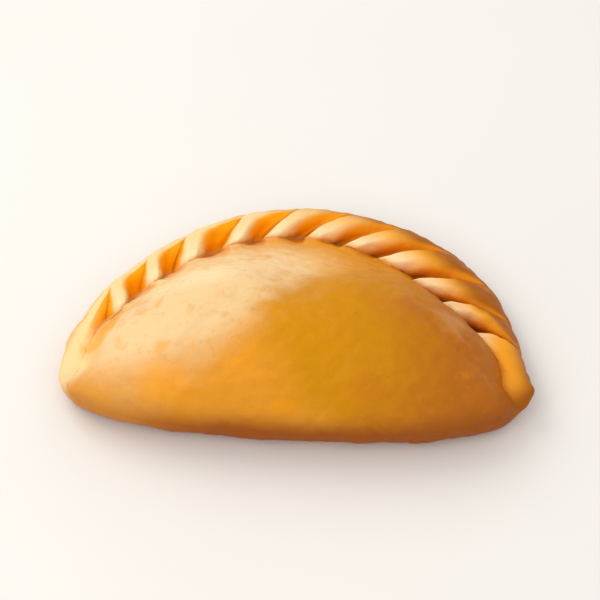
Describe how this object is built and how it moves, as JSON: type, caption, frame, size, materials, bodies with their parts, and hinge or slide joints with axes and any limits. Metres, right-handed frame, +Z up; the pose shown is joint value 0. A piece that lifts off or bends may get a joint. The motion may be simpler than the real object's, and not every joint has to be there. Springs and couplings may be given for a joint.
{
  "type": "empanada",
  "caption": "Baked half-moon turnover with a plump filled belly, a round fold in front and a rope crimp of slanting folds along its curved edge.",
  "frame": {"origin": "middle of the bounding box's underside, on the surface that the turnover lies on", "axes": "+X along the straight fold towards the pointed tail of the crimp, +Y from the fold back to the crimp, +Z up"},
  "size_m": [0.1398, 0.087, 0.0347],
  "materials": {
    "crust": "baked wheat dough under a thin egg wash: pale cream on the raised ridges, golden yellow on the belly and browner low down, with a soft gloss"
  },
  "bodies": {
    "root": {"empanada": "crust"}
  },
  "joints": []
}
